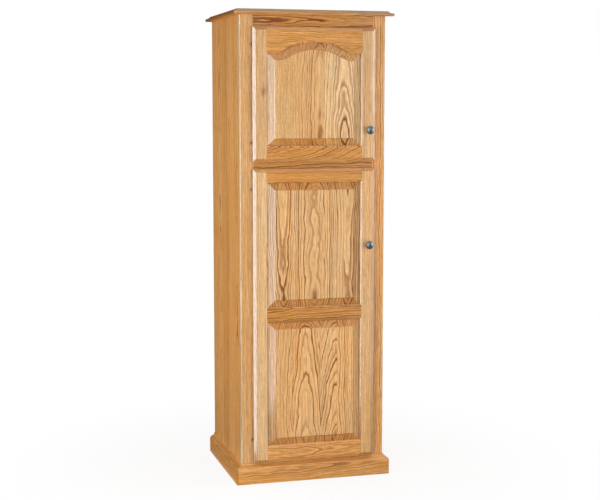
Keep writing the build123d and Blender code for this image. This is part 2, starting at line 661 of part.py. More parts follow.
def make_knob(z):
    """A turned mushroom knob on the door's face, with a blind hole for its screw."""
    bore, depth = KNOB_SCREW_RADIUS + KNOB_SCREW_PLAY, KNOB_SCREW_DEPTH + SCREW_HOLE_EXTRA
    foot = (KNOB_BASE_RADIUS, KNOB_BASE_THICK)
    waist = (KNOB_NECK_RADIUS, KNOB_RIM_Y - KNOB_FLARE)
    band = [(KNOB_RADIUS, KNOB_RIM_Y - KNOB_RIM_BAND / 2), (KNOB_RADIUS, KNOB_RIM_Y + KNOB_RIM_BAND / 2)]
    below = (KNOB_RADIUS - KNOB_RIM_BEVEL, band[0][1] - KNOB_RIM_BEVEL)
    above = (KNOB_RADIUS - KNOB_RIM_BEVEL, band[1][1] + KNOB_RIM_BEVEL)
    rise = KNOB_REACH - above[1]
    crown = (above[0] ** 2 + rise**2) / (2 * rise)
    half_way = math.asin(above[0] / crown) / 2
    over = (crown * math.sin(half_way), KNOB_REACH - crown * (1 - math.cos(half_way)))
    outline = [
        Polyline((0, KNOB_REACH), (0, depth), (bore, depth), (bore, 0), (KNOB_BASE_RADIUS, 0), foot, waist),
        bowed_arc(waist, below, KNOB_FLARE_BOW),
        Polyline(below, *band, above),
        ThreePointArc(above, over, (0, KNOB_REACH)),
    ]
    base = (X_KNOB, Y_DOOR_FRONT, z)
    lathe = Plane(origin=base, x_dir=(1, 0, 0), z_dir=(0, 0, -1))
    return revolve(lathe * make_face(outline), Axis(base, (0, -1, 0)), 360)


def knob_screw_hole(z):
    radius = KNOB_SCREW_RADIUS + KNOB_SCREW_PLAY
    return rod((X_KNOB, Y_DOOR_BACK, z), (0, -1, 0), radius, DOOR_THICK)


def make_bumpers(low, high):
    """Soft dots on the free edge of the door's back, just clear of the face frame."""
    x = X_DOOR - BUMPER_RADIUS - CONTACT_GAP
    inset = BUMPER_RADIUS + CONTACT_GAP
    thick = DOOR_GAP - CONTACT_GAP
    return [rod((x, Y_DOOR_BACK, z), (0, 1, 0), BUMPER_RADIUS, thick) for z in (low + inset, high - inset)]


def make_strike(catch_z, hole):
    """The steel plate on the door that the catch holds."""
    half_x, half_z = STRIKE_WIDTH / 2, STRIKE_HEIGHT / 2
    y0, y1 = Y_DOOR_BACK, Y_DOOR_BACK + STRIKE_THICK
    plate = block(X_CATCH - half_x, X_CATCH + half_x, y0, y1, catch_z - half_z, catch_z + half_z)
    return plate - hole


def make_door(name, low, high, openings, hinges, catch_z, knob_z):
    """All the pieces of one door. Rails and panels run from the bottom up."""
    blank = door_blank(low, high)
    cutters = [opening_cutter(opening) for opening in openings]
    places = door_screw_places(hinges, catch_z)
    holes = [small_screw_hole(at, (0, 1, 0)) for at in places]
    drilled = holes + [knob_screw_hole(knob_z)]
    bars = {side: stile_stock(side, low, high) for side in (-1, 1)}
    for side, label in ((-1, "left"), (1, "right")):
        stile = (bars[side] & blank) - stile_groove(side, low, high)
        nodes[f"{name}_stile_{label}"] = stile - drilled

    x_face = X_DOOR_OPENING + STICKING_WIDTH
    x_tenon = X_DOOR_OPENING + TONGUE_DEPTH
    edges = [low] + [z for o in openings for z in (o.low, o.high)] + [high]
    labels = ["bottom"] + ["middle"] * (len(openings) - 1) + ["top"]
    for i, label in enumerate(labels):
        z0, z1 = edges[2 * i], edges[2 * i + 1]
        rail = block(-x_face, x_face, Y_DOOR_FRONT, Y_DOOR_BACK, z0, z1) & blank
        rail = rail - list(bars.values())
        rail += block(-x_tenon, x_tenon, Y_TONGUE_FRONT, Y_TONGUE_BACK, z0, z1)
        nodes[f"{name}_rail_{label}"] = rail - cutters

    for i, opening in enumerate(openings):
        label = "" if len(openings) == 1 else ("_bottom", "_middle")[i]
        nodes[f"{name}_panel{label}"] = make_panel(opening)

    nodes[f"{name}_knob"] = make_knob(knob_z)
    at = (X_KNOB, Y_DOOR_BACK, knob_z)
    length = DOOR_THICK + KNOB_SCREW_DEPTH
    sizes = (KNOB_SCREW_HEAD, KNOB_SCREW_HEAD_HEIGHT, KNOB_SCREW_RADIUS, length)
    nodes[f"{name}_knob_screw"] = screw(at, (0, 1, 0), *sizes)
    nodes[f"{name}_screws"] = [small_screw(place, (0, 1, 0)) for place in places]
    nodes[f"{name}_strike"] = make_strike(catch_z, holes[-1])
    nodes[f"{name}_bumpers"] = make_bumpers(low, high)
    for z, label in zip(hinges, ("top", "bottom")):
        nodes[f"{name}_hinge_{label}_door_leaf"] = make_door_leaf(z, holes)
        nodes[f"{name}_hinge_{label}_frame_leaf"] = make_frame_leaf(z)


# ---------------------------------------------------------------- hinges
KNUCKLE_STEP = KNUCKLE_HEIGHT + KNUCKLE_GAP


def knuckle(z):
    """One knuckle of the barrel, centred at height z."""
    bottom = (HINGE_X, HINGE_Y, z - KNUCKLE_HEIGHT / 2)
    return rod(bottom, (0, 0, 1), KNUCKLE_RADIUS, KNUCKLE_HEIGHT)


def barrel_bore(z, radius):
    reach = 2 * KNUCKLE_STEP
    return rod((HINGE_X, HINGE_Y, z - reach), (0, 0, 1), radius, 2 * reach)


def make_frame_leaf(z):
    """The fixed leaf: a strip on the face frame, a flange round the stile's edge and two knuckles."""
    x_strip = -X_DOOR + LEAF_EDGE_PLAY
    x_wrap = -X_OPENING + LEAF_THICK
    y0, y1 = Y_FACE - LEAF_THICK, Y_FACE
    z0, z1 = z - LEAF_HEIGHT / 2, z + LEAF_HEIGHT / 2
    leaf = block(x_strip, x_wrap, y0, y1, z0, z1)
    leaf += block(-X_OPENING, x_wrap, y0, Y_FACE + LEAF_WRAP, z0, z1)
    for step in (-KNUCKLE_STEP, KNUCKLE_STEP):
        low, high = z + step - KNUCKLE_HEIGHT / 2, z + step + KNUCKLE_HEIGHT / 2
        leaf += block(HINGE_X, x_strip, y0, y1, low, high)
        leaf += knuckle(z + step)
    return leaf - barrel_bore(z, HINGE_PIN_RADIUS) - FRAME_SCREW_HOLES


def make_door_leaf(z, holes):
    """The moving leaf: a plate on the door's back and the middle knuckle."""
    x_plate = -X_DOOR + LEAF_EDGE_PLAY
    y0, y1 = Y_DOOR_BACK, Y_DOOR_BACK + LEAF_THICK
    leaf = block(x_plate, x_plate + LEAF_WIDTH, y0, y1, z - LEAF_HEIGHT / 2, z + LEAF_HEIGHT / 2)
    leaf += block(HINGE_X, x_plate, y0, y1, z - KNUCKLE_HEIGHT / 2, z + KNUCKLE_HEIGHT / 2)
    leaf += knuckle(z)
    return leaf - barrel_bore(z, HINGE_PIN_RADIUS + HINGE_PIN_PLAY) - holes


def make_hinge_pin(z):
    """The pin, fast in the fixed knuckles, with a domed head on top."""
    half = KNUCKLE_STEP + KNUCKLE_HEIGHT / 2
    shaft = rod((HINGE_X, HINGE_Y, z - half), (0, 0, 1), HINGE_PIN_RADIUS, 2 * half)
    top = (HINGE_X, HINGE_Y, z + half)
    head = rod(top, (0, 0, 1), HINGE_PIN_HEAD, HINGE_PIN_HEAD_HEIGHT)
    return shaft + head


# ---------------------------------------------------------------- catches
def make_catch(z):
    """A magnetic catch: a small case screwed to the stile's edge, and its two pole plates."""
    y0, y1 = Y_FACE + CATCH_RECESS, Y_FACE + CATCH_RECESS + CATCH_DEPTH
    case = block(X_OPENING - CATCH_WIDTH, X_OPENING, y0, y1, z - CATCH_HEIGHT / 2, z + CATCH_HEIGHT / 2)
    half = CATCH_FLANGE_HEIGHT / 2
    case += block(X_OPENING - CATCH_FLANGE, X_OPENING, y0, y1, z - half, z + half)
    tip = Y_FACE - DOOR_GAP + STRIKE_THICK + CONTACT_GAP
    poles, slots = [], []
    for dx in (-POLE_SPACING / 2, POLE_SPACING / 2):
        x = X_CATCH + dx
        for play, made in ((0, poles), (POLE_PLAY, slots)):
            half_x, half_z = POLE_THICK / 2 + play, POLE_HEIGHT / 2 + play
            end = tip + POLE_LENGTH
            made.append(block(x - half_x, x + half_x, tip, end, z - half_z, z + half_z))
    return case - slots - FRAME_SCREW_HOLES, poles


def make_fixed_hardware():
    upper_case, upper_poles = make_catch(UPPER_CATCH_Z)
    lower_case, lower_poles = make_catch(LOWER_CATCH_Z)
    nodes["upper_catch_case"] = upper_case
    nodes["lower_catch_case"] = lower_case
    nodes["catch_poles"] = upper_poles + lower_poles
    nodes["frame_screws"] = [small_screw(at, out) for at, out in frame_screw_places()]
    nodes["hinge_pins"] = [make_hinge_pin(z) for z in UPPER_HINGES + LOWER_HINGES]


# ---------------------------------------------------------------- the whole cabinet
make_case()
make_base()
make_face_frame()
make_shelves()
make_fixed_hardware()
make_door(
    "upper_door",
    UPPER_DOOR_LOW,
    UPPER_DOOR_HIGH,
    UPPER_OPENINGS,
    UPPER_HINGES,
    UPPER_CATCH_Z,
    KNOB_UPPER_Z,
)
make_door(
    "lower_door",
    LOWER_DOOR_LOW,
    LOWER_DOOR_HIGH,
    LOWER_OPENINGS,
    LOWER_HINGES,
    LOWER_CATCH_Z,
    KNOB_LOWER_Z,
)

os.makedirs("parts", exist_ok=True)
for node, made in nodes.items():
    if isinstance(made, list):
        made = Compound(children=made)
    export_step(made, f"parts/{node}.step")
print(len(nodes), "nodes written")
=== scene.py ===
# %% [markdown]
# # A golden oak pantry cabinet
# The joinery (case, face frame, raised-panel doors, hinges, knobs) arrives as a finished assembly in its
# real size. This lesson dresses it: it gives every board its own cut of oak, and lights the cabinet as a
# furniture catalogue does. Oak is not one colour with lines painted on it. It is a solid block of growth
# rings, and a board shows whatever the saw happened to cut through, so the oak here is made the same way:
# rings in three dimensions, and each board a slice at its own depth and slant.

# %% Load the frame
import math
import random
from collections import namedtuple

import bmesh
import bpy
from mathutils import Matrix, Vector


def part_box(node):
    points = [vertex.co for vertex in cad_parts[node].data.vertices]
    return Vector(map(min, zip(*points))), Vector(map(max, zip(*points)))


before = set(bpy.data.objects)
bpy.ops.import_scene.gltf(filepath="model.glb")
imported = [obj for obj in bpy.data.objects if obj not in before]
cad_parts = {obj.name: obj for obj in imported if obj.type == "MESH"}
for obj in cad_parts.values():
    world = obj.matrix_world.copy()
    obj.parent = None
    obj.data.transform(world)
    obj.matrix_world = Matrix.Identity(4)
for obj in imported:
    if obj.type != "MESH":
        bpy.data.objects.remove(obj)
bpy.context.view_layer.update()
MM = 0.001

# %% [markdown]
# ## Camera
# The cabinet is seen from slightly above its middle and from the left, far enough away that its uprights
# stay upright. A long lens at five metres does that. A shifted lens would keep the uprights exactly
# parallel, but a shift stays with the camera when it is walked round the cabinet, so a slight tilt is used.

# %% Place the camera
CAMERA_PLACE = (-1.3807, -4.9954, 1.4668)  # metres from the middle of the cabinet's foot
CAMERA_TURN = 15.56  # degrees from facing the doors squarely
CAMERA_TILT = 6.41  # degrees below level
CAMERA_LENS = 77.1  # on a 36 mm wide sensor

lens = bpy.data.cameras.new("studio_camera")
lens.lens = CAMERA_LENS
camera = bpy.data.objects.new("studio_camera", lens)
camera.location = CAMERA_PLACE
camera.rotation_euler = (math.radians(90 - CAMERA_TILT), 0, math.radians(-CAMERA_TURN))
bpy.context.scene.collection.objects.link(camera)
bpy.context.scene.camera = camera
print("camera", CAMERA_LENS, "mm at", CAMERA_PLACE)

# %% [markdown]
# ## Writing shader maths as Python
# A wood pattern is a formula: distances, roots, remainders. Built by hand, each sign is a Math node and two
# links. The little class below wraps one output of a node, so that a + b or 1 - a adds the nodes by itself
# and the oak further down reads like the formula it is.

# %% A socket that can be added, multiplied and divided
class Wire:
    """One output of a shader node. Sums and products of wires add Math nodes."""

    def __init__(self, tree, socket=None):
        self.tree = tree
        self.socket = socket

    def node(self, kind, settings=(), inputs=(), output=0):
        """Add a node: its settings first, then its sockets' values or links. Gives a wire for one output."""
        made = self.tree.nodes.new("ShaderNode" + kind)
        for name, value in dict(settings).items():
            setattr(made, name, value)
        for name, value in dict(inputs).items():
            socket = made.inputs[name]
            if isinstance(value, Wire):
                self.tree.links.new(value.socket, socket)
            else:
                socket.default_value = value
        return Wire(self.tree, made.outputs[output])

    def math(self, operation, *others):
        """A Math node on this wire and others, in that order."""
        return self.node("Math", {"operation": operation}, enumerate((self,) + others))

    def __add__(self, other):
        return self.math("ADD", other)

    __radd__ = __add__

    def __sub__(self, other):
        return self.math("SUBTRACT", other)

    def __rsub__(self, other):
        return self.node("Math", {"operation": "SUBTRACT"}, {0: other, 1: self})

    def __mul__(self, other):
        return self.math("MULTIPLY", other)

    __rmul__ = __mul__

    def __truediv__(self, other):
        return self.math("DIVIDE", other)

    def __gt__(self, other):
        return self.math("GREATER_THAN", other)

    def __pow__(self, power):
        return self.math("POWER", power)

    def __abs__(self):
        return self.math("ABSOLUTE")

    def ease(self, low, high, first=0.0, last=1.0):
        """Runs smoothly from first, where this wire is at low, to last, where it is at high."""
        values = {"Value": self, "From Min": low, "From Max": high, "To Min": first, "To Max": last}
        return self.node("MapRange", {"interpolation_type": "SMOOTHSTEP"}, values)

    def scaled(self, amount):
        """This colour or vector times a number."""
        return self.node("VectorMath", {"operation": "SCALE"}, {0: self, "Scale": amount})

    def length(self):
        """How long this vector is."""
        return self.node("VectorMath", {"operation": "LENGTH"}, {0: self}, "Value")


def vector(x, y, z):
    """A vector from three wires."""
    return x.node("CombineXYZ", (), {0: x, 1: y, 2: z})


def speckle(place, detail=2.0):
    """Smooth noise from about 0.2 to 0.8, with its coarsest lumps one unit of place across."""
    return place.node("TexNoise", (), {"Vector": place, "Scale": 1.0, "Detail": detail})


def swing(noise, size):
    """Noise as a swing to both sides of nothing, up to about a third of size each way."""
    return (noise - 0.5) * size


def blend_colours(amount, first, last):
    """The colour first where amount is 0, and last where it is 1."""
    colours = {0: amount, 6: first, 7: last}  # a Mix node's colour sockets come after its other kinds
    return amount.node("Mix", {"data_type": "RGBA", "clamp_factor": True}, colours, 2)


def srgb(red, green, blue):
    """A colour as read off a paint card, 0 to 255, turned into the light values that shaders use."""

    def to_light(value):
        value = value / 255
        return value / 12.92 if value <= 0.04045 else ((value + 0.055) / 1.055) ** 2.4

    return (to_light(red), to_light(green), to_light(blue), 1.0)


print("shader maths ready")

# %% A new, empty finish
def new_finish(name):
    """A material with its shader, ready for its sockets: (material, shader node, a wire to start from)."""
    material = bpy.data.materials.new(name)
    material.use_nodes = True
    tree = material.node_tree
    shader = tree.nodes["Principled BSDF"]
    return material, shader, Wire(tree)


def feed(shader, socket, wire):
    """Plug a wire into one of a shader's sockets."""
    wire.tree.links.new(wire.socket, shader.inputs[socket])


def dress(node, material):
    """Give a finished assembly piece its material."""
    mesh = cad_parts[node].data
    mesh.materials.clear()
    mesh.materials.append(material)


print(len(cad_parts), "pieces wait for a finish")

# %% [markdown]
# ## Oak, from the tree outwards
# A tree trunk is a stack of nested tubes, one for each year. A board is a slice off one side. Its face
# cuts the tubes at a distance from the middle, so straight lines show, close together where the cut is
# deep. Trunks taper, so the middle climbs or sinks along the board: then each tube breaks through the face
# in a tall arch, and nested arches are what joiners call cathedral grain. Measuring the distance to a
# slanted middle line gives all of it at once, also on the bevels and the ends of the boards, which a flat
# picture of grain never gets right.

# %% How a board is described
RING = 6.0  # a year's growth, mm: this oak grew fast

FIELDS = "width crown depth rise shade warm bold ring sap knot"
Board = namedtuple("Board", FIELDS, defaults=(1.0, RING, 900, None))
# width: across the board, mm
# crown: where the tree's middle lies, mm from the board's low edge
# depth: how far the middle lies under the face, mm, halfway along the board
# rise: how many mm that depth grows for each mm along the board; its sign points the arches
# shade: brightness, 1 is plain
# warm: 0 is straw, 1 is amber
# bold: how strongly the rings show; quiet boards show more of their silvery rays instead
# ring: a year's growth, mm
# sap: how far from the tree's middle the pale sapwood begins, mm
# knot: where a small knot lies, as (mm from the board's low edge, mm above the piece's middle)


def cut_boards(total, count, seed):
    """Boards for a glued-up panel nobody looks at first: plausible widths and cuts, the same each time."""
    dice = random.Random(seed)
    shares = [dice.uniform(0.8, 1.2) for _ in range(count)]
    boards = []
    for share in shares:
        width = total * share / sum(shares)
        crown = width * dice.uniform(-0.4, 1.4)
        rise = dice.choice((-1, 1)) * dice.uniform(0.012, 0.035)
        depth = dice.uniform(45, 110)
        shade = dice.uniform(0.93, 1.03)
        warm = dice.uniform(0.3, 0.9)
        boards.append(Board(width, crown, depth, rise, shade, warm, bold=0.7))
    return boards


print("a board is", len(Board._fields), "numbers; a year's growth is", RING, "mm")

# %% Measuring a piece along, across and into its grain
AXES = "xyz"


def measured(start, node, grain, face):
    """Wires for a piece: metres across it, along it from its middle, and below its show face."""
    low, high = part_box(node)
    out = AXES.index(face[1])
    length = AXES.index(grain)
    width = 3 - out - length
    place = start.node("TexCoord", (), (), "Object")
    parts = [place.node("SeparateXYZ", (), {0: place}, axis) for axis in range(3)]
    across = parts[width] - low[width]
    along = parts[length] - (low[length] + high[length]) / 2
    deep = parts[out] - low[out] if face[0] == "-" else high[out] - parts[out]
    return across, along, deep


print("a piece is measured along the grain, across it and inwards, on the axes", ", ".join(AXES))

# %% Gluing boards side by side
TREE_STEP = 3.1  # metres up the trunk from one board to the next, so that neighbours never match
TREE_STARTS = 97  # whole metres up the trunk at which the first board of a piece may begin

Wood = namedtuple("Wood", "across along deep up")
# across, along and deep are measured on the piece; up is metres up the trunk, where the noise is read

Cut = namedtuple("Cut", "crown depth rise shade warm bold ring sap knots")
# the numbers of the boards, as wires in metres, with the places of the knots


def by_board(across, edges, values):
    """A number that steps at each glue line: values[0] on the first board, and so on."""
    total = across * 0 + values[0]
    for edge, before, after in zip(edges, values, values[1:]):
        total = total + (across > edge) * (after - before)
    return total


def glue_up(across, along, deep, boards, name):
    """Place the boards side by side: where each point of the piece lies in its wood, and how it is cut."""
    low_edges, edge = [], 0.0
    for board in boards:
        low_edges.append(edge)
        edge += board.width * MM

    def stepped(values):
        return by_board(across, low_edges[1:], values)

    first = sum(ord(letter) for letter in name) % TREE_STARTS
    up = along + stepped([first + TREE_STEP * number for number in range(len(boards))])
    placed = list(zip(low_edges, boards))
    cut = Cut(
        crown=stepped([low + board.crown * MM for low, board in placed]),
        depth=stepped([board.depth * MM for board in boards]),
        rise=stepped([board.rise for board in boards]),
        shade=stepped([board.shade for board in boards]),
        warm=stepped([board.warm for board in boards]),
        bold=stepped([board.bold for board in boards]),
        ring=stepped([board.ring * MM for board in boards]),
        sap=stepped([board.sap * MM for board in boards]),
        knots=[(low + board.knot[0] * MM, board.knot[1] * MM) for low, board in placed if board.knot],
    )
    return Wood(across, along, deep, up), cut


print("glued boards start", TREE_STEP, "m apart in the tree")

# %% Noise drawn out along the fibres
def streaks(wood, fine, long, detail=2.0, shift=0):
    """Noise drawn out along the fibres, with fine lumps to a metre across them and long lumps along them."""
    across = wood.across * fine
    if shift:
        across = across + shift
    return speckle(vector(across, wood.deep * fine, wood.up * long), detail)


print("streaks ready: from clouds to fibres, all of them run up the trunk")

# %% [markdown]
# ## Rings, sapwood and knots
# The rings are the distance from the middle of the tree, divided by a year's growth. A real trunk leans
# and swells as it climbs, so the middle line wanders with slow noise, and no arch comes out perfect. Each
# year begins with open, dark early wood that fades into dense, pale late wood. A repeating stripe would
# look printed, so every year draws its own darkness and width. The outermost years are pale sapwood, and a
# knot is a place where the rings part round a branch.

# %% Distance from the middle of the tree
POINTED = 1.6  # 2 would make round rings; less gives the arches their points
SWAY = 0.040  # metres that the middle of the tree wanders to the side as it climbs
SWELL = 0.018  # metres that it wanders nearer and farther


def from_middle(wood, cut):
    """Metres from the middle line of the tree, which slants and wanders a little."""
    sway = swing(streaks(wood, 4, 2.6), SWAY)
    swell = swing(streaks(wood, 12, 9, shift=5), SWELL)
    beside = abs(wood.across - cut.crown + sway)
    below = wood.deep + cut.depth + cut.rise * wood.along + swell
    return (beside ** POINTED + below ** POINTED) ** (1 / POINTED)


print("the middle wanders within", SWAY / MM, "mm to the side and", SWELL / MM, "mm in depth")

# %% Knots
KNOT_SQUASH = 0.24  # heights count this much beside widths, so a knot is about four times taller than wide
KNOT_RAGGED = 0.012  # metres by which a knot's outline wavers
KNOT_REACH = 0.026  # metres from a knot's heart at which the rings run as if it weren't there
KNOT_PUSH = 0.014  # metres that the rings are pushed aside at its heart
KNOT_HEART, KNOT_EDGE = 0.001, 0.011  # metres from its heart: fully dark as far as one, gone by the other


def part_round_knots(wood, radius, knots):
    """Push the rings apart round each knot: the new radius, and where the dark knots themselves are."""
    blot = wood.across * 0
    for knot_across, knot_along in knots:
        apart = vector(wood.across - knot_across, (wood.along - knot_along) * KNOT_SQUASH, wood.deep * 0)
        apart = apart.length() + swing(streaks(wood, 90, 40), KNOT_RAGGED)
        radius = radius + apart.ease(0.0, KNOT_REACH, KNOT_PUSH, 0.0)
        blot = blot + apart.ease(KNOT_HEART, KNOT_EDGE, 1.0, 0.0)
    return radius, blot


print("knots part the rings within", KNOT_REACH / MM, "mm")

# %% Years of growth
RING_RIPPLE = 0.5  # years by which slow and fine noise each make a ring waver
SEASONS = 0.37  # how fast fat and lean years follow each other; 1 is a change every year
SEASON_SWING = 1.6  # years by which fat and lean years crowd and spread the rings
EARLY_BY, EARLY_PAST = 0.12, 0.14  # parts of a year: early wood is darkest from one to the other
FAINTEST, STRONGER = 0.2, 1.1  # darkness of the faintest year, and what the strongest adds to that
RARE = 1.6  # 1 would make strong years as common as faint ones; more makes them rarer
NARROWEST, WIDER = 0.4, 0.6  # where the narrowest early wood ends, and what the widest adds to that


def chance(wire):
    """A random number from 0 to 1, the same wherever the wire's value is the same."""
    return wire.node("TexWhiteNoise", {"noise_dimensions": "1D"}, {"W": wire})


def growth(wood, radius, cut, fibres):
    """The early wood of every year, and how dark it makes the year: some are wide or dark, some aren't."""
    years = radius / cut.ring + swing(streaks(wood, 60, 12), RING_RIPPLE) + swing(fibres, RING_RIPPLE)
    slow = years.node("TexNoise", {"noise_dimensions": "1D"}, {"W": years * SEASONS, "Scale": 1.0})
    years = years + swing(slow, SEASON_SWING)
    year = years.math("FLOOR")
    part = years.math("FRACT")
    strong = chance(year) ** RARE * STRONGER + FAINTEST
    end = chance(year + 0.5) * WIDER + NARROWEST
    early = part.ease(0.0, EARLY_BY) * part.ease(EARLY_PAST, end, 1.0, 0.0)
    return early, early * strong * cut.bold


print("early wood ends", NARROWEST, "to", NARROWEST + WIDER, "of the way through its year")

# %% Pores
PORE_EDGE, PORE_HEART = 0.53, 0.66  # where fine noise turns into an open slit
LATE_PORES, EARLY_PORES = 0.25, 0.75  # how open the slits are in late wood, and what early wood adds


def open_pores(wood, early):
    """Short dark slits along the fibres, crowded in the early wood."""
    return streaks(wood, 1500, 60, 1.0).ease(PORE_EDGE, PORE_HEART) * (LATE_PORES + EARLY_PORES * early)


print("late wood keeps", LATE_PORES, "of its pores")

# %% Colour of the bare wood
STRAW = srgb(236, 197, 145)
AMBER = srgb(224, 156, 76)
SAPWOOD = srgb(246, 224, 184)
EARLY_WOOD = srgb(144, 80, 32)
PORE = srgb(98, 58, 24)
CLOUD_WARMTH, FIBRE_WARMTH = 0.6, 0.9  # how far clouds and fibres carry the colour from straw to amber
SAP_FROM, SAP_FULL = -0.001, 0.004  # metres either side of its start over which the sapwood pales
SAP_SHARE, RING_SHARE, PORE_SHARE = 0.8, 0.85, 0.35  # how fully each of these covers what lies under it
FIBRE_TONE, DASH_TONE, CLOUD_TONE, BELT_TONE = 0.6, 0.8, 0.2, 0.45  # how far each lightens and darkens
RAY_EDGE, RAY_HEART = 0.5, 0.7  # where noise turns into a silvery ray
RAY_LEAST = 0.3  # what a bold board keeps of its rays
RAY_MEAN, RAY_TONE = 0.2, 0.22  # the rays' usual level, and how far they lighten the wood


def bare_wood(wood, radius, cut, fibres, band, pores):
    """Heartwood and sapwood, then rings and pores over them, then the shade of streaks, rays and clouds."""
    clouds = streaks(wood, 14, 2.0)
    warmth = cut.warm + swing(clouds, CLOUD_WARMTH) - swing(fibres, FIBRE_WARMTH)
    heartwood = blend_colours(warmth, STRAW, AMBER)
    outermost = (radius - cut.sap).ease(SAP_FROM, SAP_FULL)
    late_wood = blend_colours(outermost * SAP_SHARE, heartwood, SAPWOOD)
    rings = blend_colours(band * RING_SHARE, late_wood, EARLY_WOOD)
    pored = blend_colours(pores * PORE_SHARE, rings, PORE)
    dashes = streaks(wood, 330, 28)
    rays = streaks(wood, 70, 170).ease(RAY_EDGE, RAY_HEART) * (1 - cut.bold).math("MAXIMUM", RAY_LEAST)
    belts = streaks(wood, 36, 1.3, shift=9)
    tone = cut.shade
    for noise, size in ((fibres, FIBRE_TONE), (dashes, DASH_TONE), (clouds, CLOUD_TONE)):
        tone = tone * (1 + swing(noise, size))
    tone = tone * (1 + (rays - RAY_MEAN) * RAY_TONE) * (1 + swing(belts, BELT_TONE))
    return pored.scaled(tone)


print("straw is", [round(part, 2) for part in STRAW[:3]], "and amber", [round(part, 2) for part in AMBER[:3]])

# %% [markdown]
# ## Stain, painted slope shade and lacquer
# Stain soaks in where the wood is open: sanded faces take little of it, and the ends of the fibres drink
# most. Slopes that only a cutter smoothed are darker too, partly from stain and partly as painted shade that
# stands in for the lesser light they catch, so that their mirrored highlights read whiter. Last comes the
# lacquer. A pad rubs it down to a sheen on flat faces and never reaches the slopes and rounded edges, so
# these stay glossy and catch the light.
# Both follow from which way the surface faces, so one recipe serves every piece.

# %% Stain, painted slope shade and lacquer
CLEAR = (1.0, 1.0, 1.0, 1.0)
# painted shade as well as stain: slopes come out darker than flat faces, standing in for the lesser light
# they catch
CUTTER_STAIN_AND_SHADE = (0.66, 0.62, 0.56, 1.0)  # what is left of the light on slopes that only a cutter smoothed
END_STAIN = (0.75, 0.57, 0.32, 1.0)  # and where stain soaks into the fibres' ends
SLOPE, SANDED = 0.96, 0.995  # how squarely a cutter's slope faces the front at most, and a flat at least
END_FROM, END_FULL = 0.03, 0.26  # how far a surface turns to the fibres' ends before stain soaks in
LACQUER = 1.0  # full gloss on mouldings and edges, where no polishing pad reaches
RUBBED = 0.35  # what the pad leaves of it on flat faces
LACQUER_ROUGHNESS = 0.14
LACQUER_IOR = 1.65  # a shade over varnish, as if polished with wax
WOOD_SHINE = 0.15  # the wood's own, under the lacquer; the shader's usual is 0.5
WOOD_ROUGHNESS, PORE_ROUGHNESS, FIBRE_ROUGHNESS = 0.36, 0.2, 0.1  # the wood's, and what the others add
KNOT_DARK = 0.75  # as dark as a fairly strong year
PORES_DEEP, RINGS_DEEP = 0.7, 0.3  # how far pores and early wood sink, out of 1
GRAIN_DEPTH = 0.0003  # metres


def oak(name, node, grain, face, boards, slope_darkening=CLEAR):
    """Oak for one piece, glued up from boards that run along the axis grain."""
    material, shader, start = new_finish(name)
    across, along, deep = measured(start, node, grain, face)
    wood, cut = glue_up(across, along, deep, boards, name)
    radius, blot = part_round_knots(wood, from_middle(wood, cut), cut.knots)
    fibres = streaks(wood, 230, 8, 3.0)
    early, dark_years = growth(wood, radius, cut, fibres)
    band = dark_years.math("MAXIMUM", blot * KNOT_DARK)
    pores = open_pores(wood, early)
    bare = bare_wood(wood, radius, cut, fibres, band, pores)

    facing = start.node("TexCoord", (), (), "Normal")
    flat = abs(facing.node("SeparateXYZ", (), {0: facing}, AXES.index(face[1])))
    end_on = abs(facing.node("SeparateXYZ", (), {0: facing}, AXES.index(grain)))
    # slopes darkened by stain and painted shade; sanded flat faces keep their colour
    slope_stain_and_shade = blend_colours(flat.ease(SLOPE, SANDED, 1.0, 0.0), CLEAR, slope_darkening)
    stains_with_shade = blend_colours(end_on.ease(END_FROM, END_FULL), slope_stain_and_shade, END_STAIN)
    feed(shader, "Base Color", bare.node("VectorMath", {"operation": "MULTIPLY"}, {0: bare, 1: stains_with_shade}))
    feed(shader, "Roughness", WOOD_ROUGHNESS + pores * PORE_ROUGHNESS + swing(fibres, FIBRE_ROUGHNESS))
    feed(shader, "Coat Weight", flat.ease(SLOPE, SANDED, LACQUER, RUBBED))
    shader.inputs["Specular IOR Level"].default_value = WOOD_SHINE
    shader.inputs["Coat Roughness"].default_value = LACQUER_ROUGHNESS
    shader.inputs["Coat IOR"].default_value = LACQUER_IOR
    surface = 1 - pores * PORES_DEEP - band * RINGS_DEEP
    relief = {"Height": surface, "Strength": 0.35, "Distance": GRAIN_DEPTH}
    feed(shader, "Normal", start.node("Bump", (), relief))
    dress(node, material)


print("lacquer", LACQUER, "on edges and slopes,", RUBBED, "on flat faces")

# %% [markdown]
# ## The case
# A case side is glued up from several boards, picked to be quiet: nearly straight lines that nobody
# remembers. The back, the deck and the shelves are plainer still. Their boards are drawn by a seeded dice,
# so that no two are alike and every run gives the same cabinet.

# %% Sides, back and boards of the case
SIDE_BOARDS = [
    Board(96, 40, 120, 0.020, 0.96, 0.85, 1.0),
    Board(108, -60, 95, 0.016, 1.03, 0.80, 1.0),
    Board(92, 150, 100, -0.018, 0.95, 0.90, 1.1),
    Board(104, 50, 75, 0.022, 1.03, 0.80, 1.0),
    Board(120, -40, 110, 0.012, 0.96, 0.80, 1.0),
]
oak("oak_side_left", "side_left", "z", "-x", SIDE_BOARDS)
oak("oak_side_right", "side_right", "z", "+x", SIDE_BOARDS[::-1])
BACK_WIDTH = 564  # mm
SHELF_DEPTH = 464  # mm
HIDDEN_BOARD = 110  # mm, about the width of each board in the pieces behind the doors
oak("oak_back", "back_panel", "z", "+y", cut_boards(BACK_WIDTH, 4, 11))
for plank, seed in (("deck", 21), ("divider", 22), ("stretcher_front", 23), ("stretcher_back", 24)):
    low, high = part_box(plank)
    depth = (high.y - low.y) / MM
    oak("oak_" + plank, plank, "x", "+z", cut_boards(depth, max(1, round(depth / HIDDEN_BOARD)), seed))
